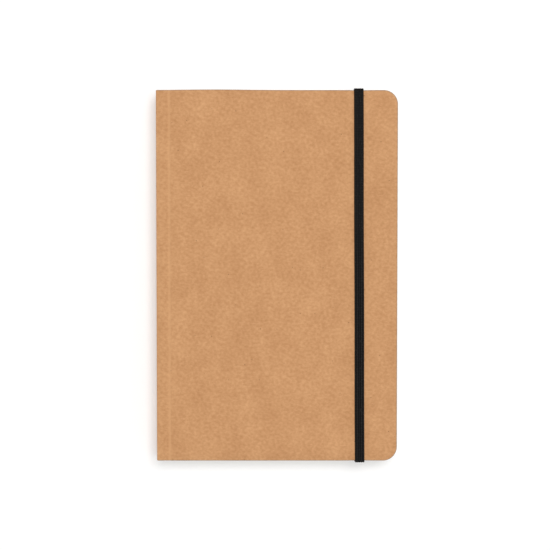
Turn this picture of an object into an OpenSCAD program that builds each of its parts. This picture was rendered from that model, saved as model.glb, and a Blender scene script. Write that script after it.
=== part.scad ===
// Pocket notebook with a wrap-around board cover, sewn sections and an elastic closure.
// It lies on its back cover: X runs from the spine to the fore-edge, Y from tail to head, Z up.
// The origin is at the centre of the underside of the closed notebook.

/* [Notebook] */
// Width from the spine to the fore-edge
book_w = 91; // [70:1:150]
// Height from tail to head
book_h = 140; // [100:1:220]
// Radius of the two fore-edge corners
corner_r = 5.3; // [3:0.1:10]
// Distance from the spine to the score that the cover opens on
score_in = 4.9; // [4:0.1:8]

/* [Cover] */
// Thickness of the cover board
board_t = 0.6; // [0.4:0.1:1.2]
// Thickness of the endpaper
endpaper_t = 0.12; // [0.08:0.01:0.2]

/* [Leaves] */
// Number of sewn sections
section_count = 5; // [3:1:6]
// Leaves that turn together in one group
leaves_per_group = 4; // [2:1:5]
// Thickness of one leaf with the air beside it
leaf_pitch = 0.1; // [0.08:0.01:0.14]
// Distance that the leaves stand back from the cover edge
leaf_inset = 0.25; // [0.1:0.05:1.5]

/* [Binding] */
// Diameter of the sewing thread
thread_d = 0.36; // [0.2:0.02:0.5]
// Stitches along each section
stitch_count = 4; // [2:1:6]
// Thickness of the gauze on the spine
gauze_t = 0.15; // [0.1:0.05:0.3]

/* [Elastic] */
// Width of the elastic band
band_w = 3.6; // [3:0.1:6]
// Thickness of the elastic band
band_t = 0.6; // [0.4:0.1:0.9]
// Distance from the fore-edge to the middle of the band
band_in = 14.5; // [10:0.5:20]
// Distance from the head or tail edge to the slot in the back cover
slot_in = 9; // [7:0.5:14]
// Depth of the channel that the band has pressed into the back cover
channel_d = 0.1; // [0.05:0.01:0.15]

/* [Hidden] */
round_fn = 48;
arc_steps = 5;
skin_gap = 0.02;
leaf_gap = 0.01;
hinge_gap = 0.05;
endpaper_gap = 0.03;

GROUP_LETTERS = ["a", "b", "c", "d"];
groups_per_section = len(GROUP_LETTERS);

spine_x = -book_w / 2;
fore_x = book_w / 2;
score_x = spine_x + score_in;
band_x = fore_x - band_in;

// Heights of the layers, from the floor up.
back_z = band_t + skin_gap;
back_paste_z = back_z + board_t;
back_fly_z = back_paste_z + endpaper_t + endpaper_gap;
leaves_z = back_fly_z + endpaper_t + endpaper_gap;
section_t = groups_per_section * leaves_per_group * leaf_pitch;
block_t = section_count * section_t;
front_fly_z = leaves_z + block_t + skin_gap;
front_paste_z = front_fly_z + endpaper_t + endpaper_gap;
front_z = front_paste_z + endpaper_t;
cover_top_z = front_z + board_t;
band_z = cover_top_z + skin_gap;

// Depths of the layers behind the folds, from the spine in.
gauze_x = spine_x + board_t;
glue_x = gauze_x + gauze_t;
glue_t = 0.15;
fold_x = glue_x + glue_t;
fold_r = (section_t - leaf_gap) / 2;

slot_l = band_w + 1;
slot_w = 1.3;
band_end_l = 10;
band_end_t = 0.3;
stitch_l = 22;

SECTIONS = [for (s = [1 : section_count]) s];

KRAFT = [0.80, 0.60, 0.42];
PAPER = [0.95, 0.93, 0.87];
ENDPAPER = [0.91, 0.88, 0.80];
THREAD = [0.96, 0.95, 0.92];
GAUZE = [0.88, 0.86, 0.80];
GLUE = [0.93, 0.90, 0.78];
ELASTIC = [0.07, 0.07, 0.07];

// Base height of section s. Section 1 is next to the front cover.
function section_z(s) = leaves_z + (section_count - s) * section_t;

// Points of a quarter circle of radius r about [x, y], counter-clockwise from angle a.
function corner_arc(x, y, r, a) =
    [for (i = [0 : arc_steps]) [x + r * cos(a + 90 * i / arc_steps), y + r * sin(a + 90 * i / arc_steps)]];

// Outline of a leaf from the hinge line to the fore-edge, with its two outer corners rounded.
function leaf_outline() =
    let (x1 = fore_x - leaf_inset, y1 = book_h / 2 - leaf_inset, r = corner_r - leaf_inset)
    concat(
        [[score_x + hinge_gap, -y1]],
        corner_arc(x1 - r, -y1 + r, r, -90),
        corner_arc(x1 - r, y1 - r, r, 0),
        [[score_x + hinge_gap, y1]]
    );

// Outline of a cover panel, square at the score and rounded at the fore-edge.
module panel_outline() {
    x0 = score_x + hinge_gap;
    translate([x0, -book_h / 2]) square([fore_x - corner_r - x0, book_h]);
    translate([x0, -book_h / 2 + corner_r]) square([fore_x - x0, book_h - 2 * corner_r]);
    for (side = [-1, 1])
        translate([fore_x - corner_r, side * (book_h / 2 - corner_r)]) circle(r = corner_r, $fn = round_fn);
}

// Extrudes a profile drawn in X and Z along the book's height, over length l.
module along_spine(l) {
    rotate([90, 0, 0]) linear_extrude(height = l, center = true) children();
}

// A round-ended slot through the back cover, across the band.
module band_slot(depth) {
    linear_extrude(height = depth) {
        square([slot_l - slot_w, slot_w], center = true);
        for (side = [-1, 1]) translate([side * (slot_l - slot_w) / 2, 0]) circle(d = slot_w, $fn = round_fn);
    }
}

// Places its children at the slot near the head and, turned round, at the one near the tail.
module at_slots() {
    for (turn = [0, 180]) translate([band_x, 0, 0]) rotate([0, 0, turn])
        translate([0, book_h / 2 - slot_in, 0]) children();
}

// Kraft board panel under the leaves. The elastic passes through its two slots, lies in a channel
// outside and is glued in a shallow recess inside.
module back_cover() {
    recess_l = band_end_l + skin_gap;
    recess_w = band_w + 2 * skin_gap;
    color(KRAFT) difference() {
        translate([0, 0, back_z]) linear_extrude(height = board_t) panel_outline();
        at_slots() {
            translate([0, 0, back_z - 1]) band_slot(board_t + 2);
            translate([-slot_l / 2, 0, back_z - 1]) cube([slot_l, slot_in + 1, 1 + channel_d]);
            translate([-recess_w / 2, -recess_l, back_paste_z - band_end_t]) cube([recess_w, recess_l, 1]);
        }
    }
}

// Kraft board panel over the leaves.
module front_cover() {
    color(KRAFT) translate([0, 0, front_z]) linear_extrude(height = board_t) panel_outline();
}

// Part of the cover that wraps the spine, with the two narrow strips up to the scores.
module spine_cover() {
    outer_h = cover_top_z - back_z;
    strip_w = score_in - hinge_gap;
    color(KRAFT) along_spine(book_h) difference() {
        translate([spine_x, back_z]) {
            translate([board_t, 0]) square([strip_w - board_t, outer_h]);
            translate([0, board_t]) square([strip_w, outer_h - 2 * board_t]);
            for (z = [board_t, outer_h - board_t]) translate([board_t, z]) circle(r = board_t, $fn = round_fn);
        }
        translate([gauze_x, back_paste_z]) square([score_in, front_z - back_paste_z]);
    }
}

// A sheet of endpaper from the hinge line to the fore-edge, with its underside at height z.
module endpaper_panel(z) {
    color(ENDPAPER) translate([0, 0, z]) linear_extrude(height = endpaper_t) polygon(leaf_outline());
}

// Bound edge of an endpaper: the fold and the glued strip between the outer section and the cover.
module endpaper_fold(z, thickness) {
    y = book_h - 2 * leaf_inset;
    color(ENDPAPER) translate([fold_x, -y / 2, z]) cube([score_x - hinge_gap - fold_x, y, thickness]);
}

// Leaves of one section that turn together, each a separate sheet. Group 0 is the one nearest the front.
module leaf_group(s, group) {
    base = section_z(s) + (groups_per_section - 1 - group) * leaves_per_group * leaf_pitch;
    color(PAPER) for (i = [0 : leaves_per_group - 1])
        translate([0, 0, base + i * leaf_pitch])
            linear_extrude(height = leaf_pitch - leaf_gap) polygon(leaf_outline());
}

// Bound back of one section: the folded sheets, rounded at the fold, with a channel for the thread.
module section_fold(s) {
    middle_z = section_z(s) + fold_r;
    color(PAPER) along_spine(book_h - 2 * leaf_inset) difference() {
        union() {
            translate([fold_x + fold_r, middle_z]) circle(r = fold_r, $fn = round_fn);
            translate([fold_x + fold_r, middle_z - fold_r])
                square([score_x - hinge_gap - fold_x - fold_r, 2 * fold_r]);
        }
        translate([fold_x + fold_r, middle_z]) circle(d = thread_d + 2 * skin_gap, $fn = round_fn);
    }
}

// Stitches that lie in the fold of one section.
module section_thread(s) {
    first_y = -book_h / 2 + book_h / (2 * stitch_count);
    color(THREAD) for (i = [0 : stitch_count - 1])
        translate([fold_x + fold_r, first_y + i * book_h / stitch_count, section_z(s) + fold_r])
            rotate([90, 0, 0]) cylinder(d = thread_d, h = stitch_l, center = true, $fn = round_fn);
}

// Open-weave lining that backs the folds, under the cover's spine.
module spine_gauze() {
    y = book_h - 2 * slot_in;
    color(GAUZE) translate([gauze_x, -y / 2, leaves_z]) cube([gauze_t, y, block_t]);
}

// Film of adhesive behind the folds, filling the valleys between the sections.
module spine_glue() {
    color(GLUE) along_spine(book_h - 2 * leaf_inset) difference() {
        translate([glue_x, leaves_z]) square([glue_t + fold_r, block_t - leaf_gap]);
        for (s = SECTIONS) translate([fold_x + fold_r, section_z(s) + fold_r]) {
            circle(r = fold_r + skin_gap, $fn = round_fn);
            translate([0, -fold_r - 1]) square([fold_r + 1, 2 * fold_r + 2]);
        }
    }
}

// Extrudes a profile drawn in Y and Z across the width of the band, at the band's place.
module across_band() {
    translate([band_x - band_w / 2, 0, 0]) rotate([90, 0, 90]) linear_extrude(height = band_w) children();
}

// Stretch of elastic over the front cover, rounded where it turns down the head and tail.
module elastic_front_run() {
    turn_y = book_h / 2 + hinge_gap;
    color(ELASTIC) across_band() {
        translate([-turn_y, band_z]) square([2 * turn_y, band_t]);
        for (side = [-1, 1]) intersection() {
            translate([side * turn_y, band_z]) circle(r = band_t, $fn = round_fn);
            translate([-book_h, band_z]) square([2 * book_h, 2 * band_t]);
        }
    }
}

// The two short stretches down the head and tail edges of the closed book.
module elastic_side_runs() {
    color(ELASTIC) for (turn = [0, 180]) translate([band_x, 0, 0]) rotate([0, 0, turn])
        translate([-band_w / 2, book_h / 2 + hinge_gap, band_t]) cube([band_w, band_t, band_z - band_t]);
}

// Fixed ends: under the back cover from the edge to the slot, through it, and glued flat inside.
module elastic_back_ends() {
    turn_y = slot_in + hinge_gap;
    color(ELASTIC) at_slots() {
        translate([-band_w / 2, 0, 0]) rotate([90, 0, 90]) linear_extrude(height = band_w) {
            translate([-band_t / 2, 0]) square([turn_y + band_t / 2, band_t]);
            intersection() {
                translate([turn_y, band_t]) circle(r = band_t, $fn = round_fn);
                translate([0, -band_t]) square([2 * slot_in, 2 * band_t]);
            }
            translate([-band_t / 2, 0]) square([band_t, back_paste_z]);
            translate([-band_end_l, back_paste_z - band_end_t + skin_gap])
                square([band_end_l, band_end_t - skin_gap]);
        }
    }
}

back_cover();
spine_cover();
front_cover();
endpaper_panel(back_paste_z);  // back_pastedown
endpaper_panel(back_fly_z);  // back_flyleaf
endpaper_fold(back_paste_z, leaves_z - back_paste_z - leaf_gap);  // back_endpaper_fold
endpaper_panel(front_paste_z);  // front_pastedown
endpaper_panel(front_fly_z);  // front_flyleaf
endpaper_fold(front_fly_z, front_z - front_fly_z);  // front_endpaper_fold
for (s = SECTIONS) {
    for (g = [0 : groups_per_section - 1])
        leaf_group(s, g);
    section_fold(s);
    section_thread(s);
}
spine_gauze();
spine_glue();
elastic_front_run();
elastic_side_runs();
elastic_back_ends();
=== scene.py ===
"""A pocket notebook: kraft board cover, sewn leaves, endpapers and a black elastic closure."""

import math
import random

import bmesh
import bpy
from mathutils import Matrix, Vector


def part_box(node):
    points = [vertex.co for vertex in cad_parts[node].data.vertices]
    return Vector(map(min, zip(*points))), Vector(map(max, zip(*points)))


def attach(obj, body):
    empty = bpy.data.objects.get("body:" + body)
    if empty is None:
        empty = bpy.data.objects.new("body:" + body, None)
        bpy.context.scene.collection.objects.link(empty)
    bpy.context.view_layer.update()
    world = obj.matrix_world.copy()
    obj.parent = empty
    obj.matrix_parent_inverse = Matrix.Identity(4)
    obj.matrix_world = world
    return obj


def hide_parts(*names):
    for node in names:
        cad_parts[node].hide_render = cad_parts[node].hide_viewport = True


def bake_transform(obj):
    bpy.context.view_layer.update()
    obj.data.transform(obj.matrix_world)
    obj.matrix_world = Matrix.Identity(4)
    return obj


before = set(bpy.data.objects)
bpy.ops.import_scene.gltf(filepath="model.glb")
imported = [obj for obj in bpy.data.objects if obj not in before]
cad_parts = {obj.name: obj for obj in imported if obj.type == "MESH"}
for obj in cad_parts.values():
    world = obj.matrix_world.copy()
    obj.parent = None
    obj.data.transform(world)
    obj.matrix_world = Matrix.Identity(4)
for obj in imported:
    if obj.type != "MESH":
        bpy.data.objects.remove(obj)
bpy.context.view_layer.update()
mm = 0.001


# ---------------------------------------------------------------------------------------------
# Kraft board cover. One sheet of unbleached board, creased at a score on each side of the spine
# and wrapped round the sewn block. It is built as a front half and a back half, which meet
# along the middle of the spine. Its cut edges are worn round.
# ---------------------------------------------------------------------------------------------

spine_low, spine_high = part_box("spine_cover")
front_low, front_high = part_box("front_cover")
back_low, back_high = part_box("back_cover")
board_thickness = front_high.z - front_low.z
score_x = (spine_high.x + front_low.x) / 2
middle_z = (front_high.z + back_low.z) / 2
spine_edge_radius = 0.45 * mm
fore_corner_radius = 5.3 * mm
crease_half_width = 0.55 * mm
crease_depth = 0.13 * mm
rim_radius = 0.28 * mm
rim_turns = (math.pi / 6, math.pi / 3, math.pi / 2)


def add_node(tree, kind, inputs=None, **settings):
    """Adds one shader node. An input is given a value, or is linked where a socket is given."""
    node = tree.nodes.new("ShaderNode" + kind)
    for name, value in settings.items():
        setattr(node, name, value)
    for name, value in (inputs or {}).items():
        if isinstance(value, bpy.types.NodeSocket):
            tree.links.new(value, node.inputs[name])
        else:
            node.inputs[name].default_value = value
    return node


def new_material(name, roughness, specular):
    """A material with a plain surface shader. Returns the material, its nodes and the shader."""
    material = bpy.data.materials.new(name)
    material.use_nodes = True
    tree = material.node_tree
    surface = tree.nodes["Principled BSDF"]
    surface.inputs["Roughness"].default_value = roughness
    surface.inputs["Specular IOR Level"].default_value = specular
    return material, tree, surface


def blend_colour(tree, factor, first, second):
    """Goes from the first colour to the second as factor goes from 0 to 1."""
    return add_node(tree, "Mix", {0: factor, 6: first, 7: second}, data_type="RGBA").outputs[2]


def stretched_noise(tree, place, turn, scale, detail, roughness=0.5):
    """Noise with a grain: turned by an angle, and scaled by its own amount each way."""
    grain = add_node(tree, "Mapping", {"Vector": place, "Rotation": (0, 0, turn), "Scale": scale})
    noise = add_node(tree, "TexNoise", {
        "Vector": grain.outputs[0], "Scale": 1.0, "Detail": detail, "Roughness": roughness
    })
    return noise.outputs["Fac"]


def maths(tree, operation, first, second=None):
    """One sum on values or sockets."""
    inputs = {0: first} if second is None else {0: first, 1: second}
    return add_node(tree, "Math", inputs, operation=operation).outputs[0]


def set_looks(tree, surface, colour, heights, strength, depth):
    """Gives the surface its colour and its relief, which is up to depth deep."""
    tree.links.new(colour, surface.inputs["Base Color"])
    relief = add_node(tree, "Bump", {"Height": heights, "Strength": strength, "Distance": depth})
    tree.links.new(relief.outputs[0], surface.inputs["Normal"])


def pick(tree, value, low, high):
    """0 where value is under low, 1 where it is over high."""
    spread = add_node(tree, "MapRange", {"Value": value, "From Min": low, "From Max": high})
    return spread.outputs[0]


def kraft_material(name, base, dark, light):
    """Unbleached board: mottled pulp, fine pale and dark fibres lying every way, a few specks."""
    material, tree, surface = new_material(name, 0.82, 0.25)
    place = add_node(tree, "UVMap", uv_map="sheet").outputs[0]
    pulp = stretched_noise(tree, place, 0.6, (820, 920, 1), 6.0)
    cloud = stretched_noise(tree, place, 0.4, (95, 75, 1), 6.0, 0.68)
    colour = blend_colour(tree, pick(tree, pulp, 0.3, 0.7), dark, light)
    evened_out = 0.42
    colour = blend_colour(tree, evened_out, colour, base)
    patches = blend_colour(
        tree, pick(tree, cloud, 0.3, 0.7), (0.91, 0.88, 0.845, 1), (1.09, 1.12, 1.155, 1)
    )
    colour = add_node(
        tree, "Mix", {0: 1.0, 6: colour, 7: patches}, data_type="RGBA", blend_type="MULTIPLY"
    ).outputs[2]
    heights = pulp
    fibre_strength = 0.55
    for turn, tint in ((0.3, light), (1.25, dark), (2.1, light), (2.8, dark)):
        fibre = stretched_noise(tree, place, turn, (280, 3200, 1), 2.0)
        strand = pick(tree, fibre, 0.64, 0.72)
        faint = maths(tree, "MULTIPLY", strand, fibre_strength)
        colour = blend_colour(tree, faint, colour, tint)
        heights = maths(tree, "ADD", heights, strand)
    cells = add_node(tree, "TexVoronoi", {"Vector": place, "Scale": 330.0, "Randomness": 1.0})
    speck = pick(tree, cells.outputs["Distance"], 0.085, 0.04)
    chosen = add_node(tree, "SeparateColor", {0: cells.outputs["Color"]}).outputs[0]
    rare = maths(tree, "GREATER_THAN", chosen, 0.72)
    speck = maths(tree, "MULTIPLY", speck, rare)
    speck_strength = 0.6
    speck = maths(tree, "MULTIPLY", speck, speck_strength)
    colour = blend_colour(tree, speck, colour, (0.12, 0.05, 0.02, 1))
    across = add_node(tree, "SeparateXYZ", {0: place}).outputs[0]
    half_spine = front_high.z - middle_z
    spine_middle = spine_low.x - half_spine
    crease_distance = half_spine + score_x - spine_low.x
    from_spine = maths(tree, "ABSOLUTE", maths(tree, "SUBTRACT", across, spine_middle))
    from_crease = maths(tree, "ABSOLUTE", maths(tree, "SUBTRACT", from_spine, crease_distance))
    # Painted highlight: a lighter band along each crease, standing in for the light that the crease
    # catches.
    crease_highlight_half_width = 0.75 * mm
    crease_highlight_strength = 0.55
    crease_highlight = pick(tree, from_crease, crease_highlight_half_width, 0.15 * mm)
    crease_highlight = maths(tree, "MULTIPLY", crease_highlight, crease_highlight_strength)
    colour = blend_colour(tree, crease_highlight, colour, light)
    set_looks(tree, surface, colour, heights, 0.25, 0.03 * mm)
    return material


kraft_face = kraft_material(
    "kraft board face", (0.558, 0.287, 0.129, 1), (0.470, 0.226, 0.093, 1), (0.655, 0.358, 0.172, 1)
)
kraft_cut = kraft_material(
    "kraft board cut edge", (0.36, 0.228, 0.138, 1), (0.27, 0.165, 0.095, 1), (0.45, 0.30, 0.19, 1)
)


def finish_mesh(name, shape, materials, flat_place, sharp_degrees=40):
    """Makes an object of a bmesh. flat_place gives each vertex's place on the flat sheet."""
    bmesh.ops.recalc_face_normals(shape, faces=shape.faces)
    sheet_place = shape.loops.layers.uv.new("sheet")
    for face in shape.faces:
        face.smooth = True
        for corner in face.loops:
            corner[sheet_place].uv = flat_place(corner.vert)
    mesh = bpy.data.meshes.new(name)
    shape.to_mesh(mesh)
    shape.free()
    mesh.set_sharp_from_angle(angle=math.radians(sharp_degrees))
    for material in materials:
        mesh.materials.append(material)
    piece = bpy.data.objects.new(name, mesh)
    bpy.context.scene.collection.objects.link(piece)
    return piece


def grid_faces(shape, rows):
    """Joins rows of points into four-sided faces."""
    for row, following in zip(rows, rows[1:]):
        for k in range(len(row) - 1):
            shape.faces.new((row[k], row[k + 1], following[k + 1], following[k]))


def edge_loop(rows):
    """The points all round the edge of a sheet made of rows."""
    heads = [row[-1] for row in rows[1:-1]]
    tails = [row[0] for row in rows[1:-1]]
    return list(rows[0]) + heads + list(reversed(rows[-1])) + list(reversed(tails))


def close_rim(shape, loops, material_index=1):
    """Closes the edge of a sheet all round, from one loop of points to the next."""
    for loop, following in zip(loops, loops[1:]):
        for k in range(len(loop)):
            face = shape.faces.new((loop[k - 1], loop[k], following[k], following[k - 1]))
            face.material_index = material_index


def cover_path():
    """The board's outer face from the middle of the spine to the fore-edge, short of the worn rim.
    Each station is x, height from the book's middle, the outward direction, half the board's
    height there, and the direction in the sheet in which its head end faces."""
    half_height = front_high.y - rim_radius
    top = front_high.z - middle_z
    bend_x = spine_low.x + spine_edge_radius
    stations = []
    for share in (0, 0.35, 0.7, 0.94):
        height = share * (top - spine_edge_radius)
        stations.append((spine_low.x, height, (-1, 0), half_height, (0, 1)))
    bend_steps = 8
    for step in range(bend_steps + 1):
        turn = math.pi - step / bend_steps * math.pi / 2
        x = bend_x + spine_edge_radius * math.cos(turn)
        height = top - spine_edge_radius + spine_edge_radius * math.sin(turn)
        stations.append((x, height, (math.cos(turn), math.sin(turn)), half_height, (0, 1)))
    crease_reach = 1.6 * crease_half_width
    for share in (0.2, 0.5, 0.8):
        x = bend_x + share * (score_x - crease_reach - bend_x)
        stations.append((x, top, (0, 1), half_height, (0, 1)))
    crease_steps = 16
    for step in range(crease_steps + 1):
        across = -1 + 2 * step / crease_steps
        dip = crease_depth * math.cos(across * math.pi / 2) ** 2
        stations.append((score_x + across * crease_reach, top - dip, (0, 1), half_height, (0, 1)))
    corner_x = front_high.x - fore_corner_radius
    panel_columns = 30
    for step in range(1, panel_columns):
        x = score_x + crease_reach + step / panel_columns * (corner_x - score_x - crease_reach)
        stations.append((x, top, (0, 1), half_height, (0, 1)))
    corner_y = front_high.y - fore_corner_radius
    corner_steps = 16
    for step in range(corner_steps + 1):
        turn = step / corner_steps * math.pi / 2
        reach = fore_corner_radius - rim_radius
        x = corner_x + reach * math.sin(turn)
        head = (math.sin(turn), math.cos(turn))
        stations.append((x, top, (0, 1), corner_y + reach * math.cos(turn), head))
    return stations


band_low, band_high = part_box("elastic_front_run")
band_x = (band_low.x + band_high.x) / 2
wander_height = 0.22 * mm
wander_x = -24 * mm
wander_width = 17 * mm
pressed_depth = 0.10 * mm
pressed_width = 3.2 * mm
edge_power = 12


def trim(x, y):
    """How far the cut head edge strays from straight, and how far the band has pressed both
    edges in. Both die away quickly from the edge."""
    wander_share = math.exp(-(((x - wander_x) / wander_width) ** 2))
    wander = wander_height * wander_share * max(0.0, y / front_high.y) ** edge_power
    band_share = math.exp(-(((x - band_x) / pressed_width) ** 2))
    pressed = pressed_depth * band_share * (abs(y) / front_high.y) ** edge_power
    return wander - math.copysign(pressed, y)


def cover_half(name, side):
    """Half of the cover board: side is 1 for the front and -1 for the back."""
    row_count = 30
    shares = [-1 + 2 * k / row_count for k in range(row_count + 1)]
    outer, inner, facing = [], [], []
    for x, height, (out_x, out_z), half_height, (head_x, head_y) in cover_path():
        inner_x = max(x - out_x * board_thickness, spine_low.x + board_thickness)
        inner_height = min(height - out_z * board_thickness, front_low.z - middle_z)
        outer_z = middle_z + side * height
        inner_z = middle_z + side * inner_height
        outer.append([Vector((x, share * half_height, outer_z)) for share in shares])
        inner.append([Vector((inner_x, share * half_height, inner_z)) for share in shares])
        tail, head = Vector((head_x, -head_y, 0)), Vector((head_x, head_y, 0))
        facing.append([tail] + [Vector((0, 0, 0))] * (row_count - 1) + [head])
    facing[-1] = [Vector((1, 0, 0))] * (row_count + 1)

    shape = bmesh.new()

    def trimmed(point):
        return shape.verts.new((point.x, point.y + trim(point.x, point.y), point.z))

    outer_rows = [[trimmed(point) for point in row] for row in outer]
    inner_rows = [[trimmed(point) for point in row] for row in inner]
    grid_faces(shape, outer_rows)
    grid_faces(shape, [list(reversed(row)) for row in inner_rows])
    rim_loops = [edge_loop(outer_rows)]
    depths = [rim_radius * (1 - math.cos(turn)) / board_thickness for turn in rim_turns]
    sections = [(depth, math.sin(turn)) for depth, turn in zip(depths, rim_turns)]
    sections += [(1 - depth, bulge) for depth, bulge in reversed(sections)]
    for depth, bulge in sections:
        rim_loops.append([
            trimmed(start.lerp(end, depth) + bulge * rim_radius * out)
            for start, end, out in zip(edge_loop(outer), edge_loop(inner), edge_loop(facing))
        ])
    rim_loops.append(edge_loop(inner_rows))
    close_rim(shape, rim_loops)

    def unwrapped(vert):
        """The place on the flat sheet: both halves run on from the spine, each its own way."""
        from_spine = side * (vert.co.x - spine_low.x)
        return spine_low.x + from_spine - (front_high.z - vert.co.z), vert.co.y

    return finish_mesh(name, shape, (kraft_face, kraft_cut), unwrapped)


cover_front = cover_half("cover_front", 1)
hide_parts("front_cover")
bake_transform(cover_front)

# The back half has a slot near the head and one near the tail, a channel that the elastic has
# pressed between each slot and the board's edge, and a recess inside for each glued end.

cover_back = cover_half("cover_back", -1)
ends_low, ends_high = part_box("elastic_back_ends")
band_width = band_high.x - band_low.x
band_thickness = band_high.z - band_low.z
slot_in = 9 * mm
slot_y = back_high.y - slot_in
slot_length = band_width + 1.0 * mm
slot_width = 1.3 * mm
slot_end_steps = 8
channel_depth = 0.1 * mm
glued_length = 10 * mm
glued_thickness = 0.3 * mm
recess_width = slot_length - 0.8 * mm
recess_length = glued_length + 0.1 * mm
spare = 1 * mm


def cutter(outline, low_z, high_z):
    """A closed block on an outline, used to cut the board."""
    shape = bmesh.new()
    bottom = [shape.verts.new((x, y, low_z)) for x, y in outline]
    face = shape.faces.new(bottom)
    raised = bmesh.ops.extrude_face_region(shape, geom=[face])
    for item in raised["geom"]:
        if isinstance(item, bmesh.types.BMVert):
            item.co.z = high_z
    bmesh.ops.recalc_face_normals(shape, faces=shape.faces)
    mesh = bpy.data.meshes.new("cutter")
    shape.to_mesh(mesh)
    shape.free()
    block = bpy.data.objects.new("cutter", mesh)
    bpy.context.scene.collection.objects.link(block)
    return block


def cut(piece, block):
    """Takes the block away from the piece, then deletes the block."""
    step = piece.modifiers.new("cut", "BOOLEAN")
    step.operation = "DIFFERENCE"
    step.solver = "EXACT"
    step.object = block
    graph = bpy.context.evaluated_depsgraph_get()
    graph.update()
    finished = bpy.data.meshes.new_from_object(piece.evaluated_get(graph))
    piece.modifiers.clear()
    piece.data = finished
    bpy.data.objects.remove(block)


def rectangle(half_length, first_y, last_y):
    """The corners of a rectangle on the band's middle line."""
    left, right = band_x - half_length, band_x + half_length
    return [(left, first_y), (right, first_y), (right, last_y), (left, last_y)]


for side in (1, -1):
    middle_y = side * slot_y
    round_ended = []
    for end in (1, -1):
        end_x = band_x + end * (slot_length - slot_width) / 2
        for step in range(slot_end_steps + 1):
            turn = math.pi / 2 - step / slot_end_steps * math.pi
            x = end_x + end * slot_width / 2 * math.cos(turn)
            round_ended.append((x, middle_y + end * slot_width / 2 * math.sin(turn)))
    cut(cover_back, cutter(round_ended, back_low.z - spare, back_high.z + spare))
    channel = rectangle(slot_length / 2, middle_y, middle_y + side * (slot_in + spare))
    cut(cover_back, cutter(channel, back_low.z - spare, back_low.z + channel_depth))
    recess = rectangle(recess_width / 2, middle_y - side * recess_length, middle_y)
    cut(cover_back, cutter(recess, back_high.z - glued_thickness, back_high.z + spare))

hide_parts("back_cover", "spine_cover")
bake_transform(cover_back)


# ---------------------------------------------------------------------------------------------
# Leaves. Eighty sheets of uncoated off-white paper, trimmed with the cover and round at the
# fore-edge corners. They turn in fours, out of the gutter, where the sewing holds them.
# ---------------------------------------------------------------------------------------------

leaf_count = 4
leaf_pitch = 0.1 * mm
leaf_thickness = 0.085 * mm
gutter_width = 3.2 * mm
sheet_shift = 40
line_spacing = 6.5 * mm
ruled_half_height = 60 * mm
random.seed(7)


def trimmed_edge(edge):
    """Where one sheet ends: a few hundredths of a millimetre off the block's edge."""
    return edge - random.uniform(-0.04, 0.05) * mm


def paper_material(name, tint, lined=False, shade=0.93, grain=(1500, 1900, 1)):
    """Uncoated paper with a faint tooth. Lined paper has thin grey rules across each page."""
    material, tree, surface = new_material(name, 0.75, 0.3)
    place = add_node(tree, "UVMap", uv_map="sheet").outputs[0]
    tooth = stretched_noise(tree, place, 0.2, grain, 4.0)
    darker = tuple(shade * c for c in tint[:3]) + (1,)
    colour = blend_colour(tree, pick(tree, tooth, 0.3, 0.7), darker, tint)
    if lined:
        down = add_node(tree, "SeparateXYZ", {0: place}).outputs[1]
        row = maths(tree, "FRACT", maths(tree, "DIVIDE", down, line_spacing))
        from_line = maths(tree, "ABSOLUTE", maths(tree, "SUBTRACT", row, 0.5))
        ruled = pick(tree, from_line, 0.022, 0.014)
        inside = maths(tree, "LESS_THAN", maths(tree, "ABSOLUTE", down), ruled_half_height)
        ruled = maths(tree, "MULTIPLY", ruled, inside)
        colour = blend_colour(tree, ruled, colour, (0.42, 0.45, 0.50, 1))
    set_looks(tree, surface, colour, tooth, 0.15, 0.01 * mm)
    return material


leaf_paper = paper_material("leaf paper", (0.84, 0.81, 0.72, 1), lined=True)
leaf_edge = paper_material(
    "leaf paper edge", (0.81, 0.77, 0.67, 1), shade=0.78, grain=(260, 260, 1)
)


def add_sheet(shape, start_x, end_x, half_height, radius, low_z, thickness):
    """Adds one flat sheet to a bmesh, with close columns by the gutter, where it bends."""
    gutter_steps = 12
    columns = [start_x + (step / gutter_steps) * gutter_width for step in range(gutter_steps + 1)]
    columns += [columns[-1] + share * (end_x - radius - columns[-1]) for share in (0.33, 0.66)]
    widths = [half_height] * len(columns)
    corner_steps = 6
    for step in range(corner_steps + 1):
        turn = step / corner_steps * math.pi / 2
        columns.append(end_x - radius + radius * math.sin(turn))
        widths.append(half_height - radius * (1 - math.cos(turn)))
    shares = (-1, -0.5, 0, 0.5, 1)
    levels = []
    for z in (low_z + thickness, low_z):
        levels.append([
            [shape.verts.new((x, share * width, z)) for share in shares]
            for x, width in zip(columns, widths)
        ])
    grid_faces(shape, levels[0])
    grid_faces(shape, [list(reversed(row)) for row in levels[1]])
    close_rim(shape, [edge_loop(rows) for rows in levels])


def flat_place(vert):
    """A vertex's place on its own sheet. Height counts too, so no two sheets look the same."""
    return vert.co.x + sheet_shift * vert.co.z, vert.co.y


for section in range(1, 6):
    for letter in "abcd":
        node = f"section_{section}_leaves_{letter}"
        low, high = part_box(node)
        group = bmesh.new()
        for leaf in range(leaf_count):
            add_sheet(
                group, score_x, trimmed_edge(high.x), trimmed_edge(high.y),
                fore_corner_radius, low.z + leaf * leaf_pitch, leaf_thickness
            )
        leaves = finish_mesh(node + "_sheets", group, (leaf_paper, leaf_edge), flat_place, 60)
        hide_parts(node)
        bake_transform(leaves)


# ---------------------------------------------------------------------------------------------
# Folded backs of the sections. Each section is eight sheets folded together, so its back is a
# nest of round folds, sewn through the innermost one. The notebook opens at the middle of
# section 3, so the folds below that stay with the back cover and those above with the spine.
# ---------------------------------------------------------------------------------------------

fold_paper = paper_material("folded paper", (0.82, 0.79, 0.70, 1))


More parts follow.
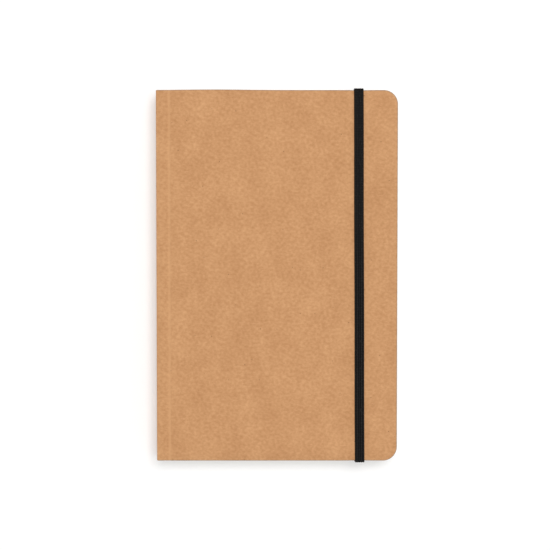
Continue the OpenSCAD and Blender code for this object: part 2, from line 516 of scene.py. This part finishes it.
def add_fold(shape, centre_x, centre_z, radius, thickness, arm_end_x, half_height, quarters):
    """Adds a folded sheet as quarter turns round the fold's centre, each with its straight arm.
    Quarter 1 is the upper one and quarter -1 the lower."""
    arc_steps = 6
    upper = [math.pi / 2 + step / arc_steps * math.pi / 2 for step in range(arc_steps + 1)]
    lower = [math.pi + step / arc_steps * math.pi / 2 for step in range(arc_steps + 1)]
    arc = sorted(set((upper if 1 in quarters else []) + (lower if -1 in quarters else [])))
    levels = []
    for reach in (radius + thickness / 2, radius - thickness / 2):
        line = [(centre_x + reach * math.cos(a), centre_z + reach * math.sin(a)) for a in arc]
        if 1 in quarters:
            line.insert(0, (arm_end_x, centre_z + reach))
        if -1 in quarters:
            line.append((arm_end_x, centre_z - reach))
        levels.append([
            [shape.verts.new((x, y, z)) for y in (-half_height, half_height)] for x, z in line
        ])
    grid_faces(shape, levels[0])
    grid_faces(shape, [list(reversed(row)) for row in levels[1]])
    close_rim(shape, [edge_loop(rows) for rows in levels])


for section, part, quarters in (
    (1, "", (1, -1)), (2, "", (1, -1)), (3, "_upper", (1,)), (3, "_lower", (-1,)),
    (4, "", (1, -1)), (5, "", (1, -1))
):
    node = f"section_{section}_fold"
    low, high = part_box(node)
    fold_radius = (high.z - low.z) / 2
    nest = bmesh.new()
    for sheet in range(2 * leaf_count):
        add_fold(
            nest, low.x + fold_radius, low.z + fold_radius, (sheet + 0.5) * leaf_pitch,
            leaf_thickness, score_x, trimmed_edge(high.y), quarters
        )
    folded = finish_mesh(node + part + "_sheets", nest, (fold_paper, leaf_edge), flat_place)
    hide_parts(node)
    if section < 3 or part == "_upper":
        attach(folded, "text_block")
    else:
        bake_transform(folded)


# ---------------------------------------------------------------------------------------------
# Endpapers. A stouter cream sheet folded once, front and back. One half is pasted to the
# cover over the crease, and the other is the free flyleaf.
# ---------------------------------------------------------------------------------------------

endpaper = paper_material("endpaper", (0.74, 0.68, 0.55, 1))

for board in ("front", "back"):
    pasted_low, pasted_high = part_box(board + "_pastedown")
    fly_low, fly_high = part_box(board + "_flyleaf")
    fold_low, fold_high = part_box(board + "_endpaper_fold")
    thickness = pasted_high.z - pasted_low.z
    start_x = score_x - crease_half_width if board == "front" else score_x

    flyleaf_shape = bmesh.new()
    add_sheet(
        flyleaf_shape, start_x, fly_high.x, fly_high.y, fore_corner_radius, fly_low.z, thickness
    )
    flyleaf = finish_mesh(board + "_flyleaf_sheet", flyleaf_shape, (endpaper, endpaper), flat_place)
    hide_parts(board + "_flyleaf")
    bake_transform(flyleaf)

    pasted_shape = bmesh.new()
    add_sheet(
        pasted_shape, start_x, pasted_high.x, pasted_high.y, fore_corner_radius,
        pasted_low.z, thickness
    )
    pasted = finish_mesh(board + "_pastedown_sheet", pasted_shape, (endpaper, endpaper), flat_place)
    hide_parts(board + "_pastedown")

    fold_shape = bmesh.new()
    fold_middle = (pasted_low.z + pasted_high.z + fly_low.z + fly_high.z) / 4
    fold_radius = abs(pasted_low.z - fly_low.z) / 2
    add_fold(
        fold_shape, fold_low.x + fold_radius + thickness / 2, fold_middle, fold_radius,
        thickness, start_x, fold_high.y, (1, -1)
    )
    fold = finish_mesh(board + "_endpaper_turn", fold_shape, (endpaper, endpaper), flat_place)
    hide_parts(board + "_endpaper_fold")
    if board == "front":
        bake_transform(pasted)
        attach(fold, "text_block")
    else:
        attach(pasted, "back_cover")
        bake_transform(fold)


# ---------------------------------------------------------------------------------------------
# Spine lining. White linen thread sews each section, open cotton gauze is laid over the folds,
# and a film of cream glue holds the two to the cover.
# ---------------------------------------------------------------------------------------------


def thread_material():
    """Two-ply thread: slanting ridges along its length, with painted shade in the grooves between
    them.
    """
    material, tree, surface = new_material("linen thread", 0.6, 0.3)
    place = add_node(tree, "TexCoord").outputs["Object"]
    lay = add_node(
        tree, "Mapping", {"Vector": place, "Rotation": (0.5, 0, 0), "Scale": (1, 5000, 1)}
    )
    wave = add_node(tree, "TexWave", {"Vector": lay.outputs[0], "Scale": 1.0}, bands_direction="Y")
    ply = wave.outputs["Fac"]
    # Painted shade: the colour darkens in the grooves between the plies, where the relief is low.
    colour = blend_colour(tree, ply, (0.62, 0.58, 0.50, 1), (0.88, 0.86, 0.80, 1))
    set_looks(tree, surface, colour, ply, 0.6, 0.05 * mm)
    return material


def gauze_material():
    """Open-weave cotton: threads crossing about 1 mm apart, with painted shade in the gaps between
    them.
    """
    material, tree, surface = new_material("spine gauze", 0.9, 0.1)
    place = add_node(tree, "TexCoord").outputs["Object"]
    threads = []
    for direction in "YZ":
        wave = add_node(
            tree, "TexWave", {"Vector": place, "Scale": 300.0, "Distortion": 0.6},
            bands_direction=direction
        )
        threads.append(pick(tree, wave.outputs["Fac"], 0.45, 0.7))
    weave = maths(tree, "MAXIMUM", threads[0], threads[1])
    # Painted shade: the gaps between the threads are dark.
    colour = blend_colour(tree, weave, (0.45, 0.42, 0.33, 1), (0.80, 0.78, 0.70, 1))
    set_looks(tree, surface, colour, weave, 0.7, 0.08 * mm)
    return material


def glue_material():
    """Dried cold glue: creamy, a little glossy and uneven."""
    material, tree, surface = new_material("binding glue", 0.35, 0.5)
    place = add_node(tree, "TexCoord").outputs["Object"]
    noise = add_node(tree, "TexNoise", {"Vector": place, "Scale": 400.0, "Detail": 3.0})
    flow = noise.outputs["Fac"]
    colour = blend_colour(tree, flow, (0.66, 0.60, 0.42, 1), (0.82, 0.77, 0.60, 1))
    set_looks(tree, surface, colour, flow, 0.5, 0.1 * mm)
    return material


linen_thread = thread_material()
finishes = {f"section_{section}_thread": linen_thread for section in range(1, 6)}
finishes["spine_gauze"] = gauze_material()
finishes["spine_glue"] = glue_material()
for node, finish in finishes.items():
    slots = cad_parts[node].data.materials
    slots.clear()
    slots.append(finish)


# ---------------------------------------------------------------------------------------------
# Elastic closure. A flat band of black woven elastic with rubber cords along it. It goes from
# a glued end inside the back cover, out through the slot, round the tail, over the front
# cover, round the head and back in through the other slot.
# ---------------------------------------------------------------------------------------------

cord_count = 5
cord_relief = 0.11 * mm
turn_radius = 0.36 * mm
turn_steps = 7
longest_step = 1.2 * mm
glued_squeeze = 0.45
glued_from_slot = 0.4 * mm
band_lean = 0.33 * mm
band_shift = 0.05 * mm
band_wave = 0.03 * mm
wave_rate = 90  # radians for each metre of band


def elastic_material():
    """Black woven elastic: fine weft threads across the band, a soft lint, and painted shade
    between the cords.
    """
    material, tree, surface = new_material("black elastic", 0.82, 0.12)
    surface.inputs["Sheen Weight"].default_value = 0.03
    surface.inputs["Sheen Roughness"].default_value = 0.5
    place = add_node(tree, "UVMap", uv_map="sheet").outputs[0]
    weft = add_node(
        tree, "TexWave",
        {"Vector": place, "Scale": 520.0, "Distortion": 1.2, "Detail": 1.0, "Detail Scale": 3.0},
        bands_direction="Y"
    ).outputs["Fac"]
    warp = add_node(
        tree, "TexWave", {"Vector": place, "Scale": 620.0, "Distortion": 0.4}, bands_direction="X"
    ).outputs["Fac"]
    lint = stretched_noise(tree, place, 0.3, (1800, 900, 1), 4.0)
    weave = maths(tree, "MULTIPLY", weft, warp)
    across = add_node(tree, "SeparateXYZ", {0: place}).outputs[0]
    across = maths(tree, "ADD", across, band_width / 2)
    turn = maths(tree, "MULTIPLY", across, math.pi * cord_count / band_width)
    crown = maths(tree, "ABSOLUTE", maths(tree, "SINE", turn))
    colour = blend_colour(tree, weave, (0.005, 0.0046, 0.0044, 1), (0.034, 0.0315, 0.0290, 1))
    # Painted shade: the colour goes nearly black in the grooves between the cords.
    colour = blend_colour(tree, pick(tree, crown, 0.9, 0.35), colour, (0.0012, 0.0011, 0.0013, 1))
    colour = blend_colour(tree, pick(tree, lint, 0.55, 0.8), colour, (0.022, 0.020, 0.018, 1))
    set_looks(tree, surface, colour, weave, 0.6, 0.05 * mm)
    return material


def rounded(corners, radius, steps):
    """A line through the corners, in y and z, with each inner corner turned in an arc."""
    line = [corners[0]]
    for before, corner, after in zip(corners, corners[1:], corners[2:]):
        back = (before - corner).normalized()
        ahead = (after - corner).normalized()
        centre = corner + (back + ahead) * radius
        for step in range(steps + 1):
            turn = step / steps * math.pi / 2
            line.append(centre - ahead * radius * math.cos(turn) - back * radius * math.sin(turn))
    line.append(corners[-1])
    return line


def band_profile():
    """The band's cross-section: cords along both faces and rounded selvedges."""
    half_width, half_thickness = band_width / 2, band_thickness / 2
    selvedge_power = 14
    selvedge_least = 0.25
    points_per_cord = 6
    count = cord_count * points_per_cord
    face = []
    for k in range(count + 1):
        across = -1 + 2 * k / count
        cord = abs(math.sin(k / points_per_cord * math.pi))
        height = half_thickness - cord_relief * (1 - cord)
        selvedge = math.sqrt(max(0.0, 1 - (abs(across) ** selvedge_power)))
        face.append((across * half_width, height * max(selvedge_least, selvedge)))
    return face + [(across, -height) for across, height in reversed(face)]


run_z = (band_low.z + band_high.z) / 2
edge_y = band_high.y - band_thickness / 2
under_z = ends_low.z + band_thickness / 2
glued_z = back_high.z - glued_thickness / 2
glued_y = slot_y - glued_length
half_route = [
    (glued_y, glued_z), (slot_y, glued_z), (slot_y, under_z), (edge_y, under_z), (edge_y, run_z)
]
route = [Vector((-y, z)) for y, z in half_route] + [Vector((y, z)) for y, z in reversed(half_route)]


def spaced(points, longest):
    """Adds points to a line so that no step along it is longer than the longest allowed."""
    fuller = [points[0]]
    for start, end in zip(points, points[1:]):
        pieces = max(1, math.ceil((end - start).length / longest))
        fuller += [start.lerp(end, k / pieces) for k in range(1, pieces + 1)]
    return fuller


# The band lies a little askew on the cover and wavers along its length. Under the back cover
# it is square, and it is squeezed thin where it is glued.

line = spaced(rounded(route, turn_radius, turn_steps), longest_step)
elastic_shape = bmesh.new()
flat_places = {}
rings = []
travelled = 0.0
for k, centre in enumerate(line):
    ahead = line[min(k + 1, len(line) - 1)] - line[max(k - 1, 0)]
    out = Vector((-ahead.y, ahead.x)).normalized()
    glued = abs(centre.x) < slot_y - glued_from_slot and centre.y < middle_z
    squeeze = glued_squeeze if glued else 1.0
    if k:
        travelled += (centre - line[k - 1]).length
    lift = max(0.0, min(1.0, (centre.y - under_z) / (run_z - under_z)))
    wave = band_wave * math.sin(travelled * wave_rate)
    drift = lift * (band_shift - band_lean * centre.x / edge_y + wave)
    ring = []
    for across, height in band_profile():
        y, z = centre + out * height * squeeze
        vert = elastic_shape.verts.new((band_x + across + drift, y, z))
        flat_places[vert] = (across, travelled)
        ring.append(vert)
    rings.append(ring)
close_rim(elastic_shape, rings, 0)
elastic_shape.faces.new(rings[0])
elastic_shape.faces.new(rings[-1])
elastic = finish_mesh("elastic_band", elastic_shape, (elastic_material(),), flat_places.get, 70)
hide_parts("elastic_front_run", "elastic_side_runs", "elastic_back_ends")
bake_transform(elastic)


# ---------------------------------------------------------------------------------------------
# Table, light and camera. The notebook lies on a white table, which curves up all round far
# away, under four broad soft lamps: one above, and the others past the fore-edge, the head and
# the corner between them. It is seen from straight above, from a little nearer its head.
# ---------------------------------------------------------------------------------------------

flat_reach = 1.2
curve_radius = 1.1
curve_turn = math.radians(75)
curve_steps = 8
table_profile = [(flat_reach / 2, 0.0), (flat_reach, 0.0)]
for step in range(1, curve_steps + 1):
    turn = step / curve_steps * curve_turn
    reach = flat_reach + curve_radius * math.sin(turn)
    table_profile.append((reach, curve_radius * (1 - math.cos(turn))))
table_points = 64
round_table = [math.tau * k / table_points for k in range(table_points)]
table_shape = bmesh.new()
table_rings = [
    [table_shape.verts.new((reach * math.cos(a), reach * math.sin(a), z)) for a in round_table]
    for reach, z in table_profile
]
close_rim(table_shape, list(reversed(table_rings)), 0)
table_shape.faces.new(table_rings[0])
for face in table_shape.faces:
    face.smooth = True
table_mesh = bpy.data.meshes.new("table")
table_shape.to_mesh(table_mesh)
table_shape.free()
white_table, table_tree, table_surface = new_material("white table", 0.9, 0.1)
grey = add_node(table_tree, "TexNoise", {"Scale": 30.0}).outputs["Fac"]
table_colour = blend_colour(table_tree, grey, (0.90, 0.90, 0.90, 1), (0.92, 0.92, 0.92, 1))
table_tree.links.new(table_colour, table_surface.inputs["Base Color"])
table_surface.inputs["Emission Color"].default_value = (1, 1, 1, 1)
table_surface.inputs["Emission Strength"].default_value = 0.085
table_mesh.materials.append(white_table)
table = bpy.data.objects.new("table", table_mesh)
bpy.context.scene.collection.objects.link(table)

world = bpy.data.worlds.new("room")
world.use_nodes = True
world.node_tree.nodes["Background"].inputs["Color"].default_value = (1.0, 1.0, 1.0, 1)
world.node_tree.nodes["Background"].inputs["Strength"].default_value = 0.40
bpy.context.scene.world = world

lamp_height = 2.0
lamp_size = 0.68
for lamp_name, lamp_x, lamp_y, lamp_power in (
    ("right", 0.66, 0.0, 6.2),
    ("head", 0.0, 0.84, 8.3),
    ("corner", 0.66, 0.84, 9.2),
    ("top", 0.0, 0.0, 7.6),
):
    lamp_data = bpy.data.lights.new(lamp_name + " lamp", "AREA")
    lamp_data.shape = "SQUARE"
    lamp_data.size = lamp_size
    lamp_data.energy = lamp_power
    lamp = bpy.data.objects.new(lamp_name + " lamp", lamp_data)
    lamp.location = (lamp_x, lamp_y, lamp_height)
    lamp.rotation_euler = (-lamp.location).to_track_quat("-Z", "Y").to_euler()
    bpy.context.scene.collection.objects.link(lamp)

camera_data = bpy.data.cameras.new("camera")
camera_data.sensor_width = 36.0
camera_distance = 0.400
frame_width = 0.20757
camera_data.lens = camera_data.sensor_width * camera_distance / frame_width
camera = bpy.data.objects.new("camera", camera_data)
tilt = math.radians(1.75)
target = Vector((-0.72 * mm, 0.50 * mm, front_high.z))
camera.location = target + camera_distance * Vector((0, math.sin(tilt), math.cos(tilt)))
camera.rotation_euler = (-tilt, 0, 0)
bpy.context.scene.collection.objects.link(camera)
bpy.context.scene.camera = camera
bpy.context.scene.view_settings.view_transform = "Standard"
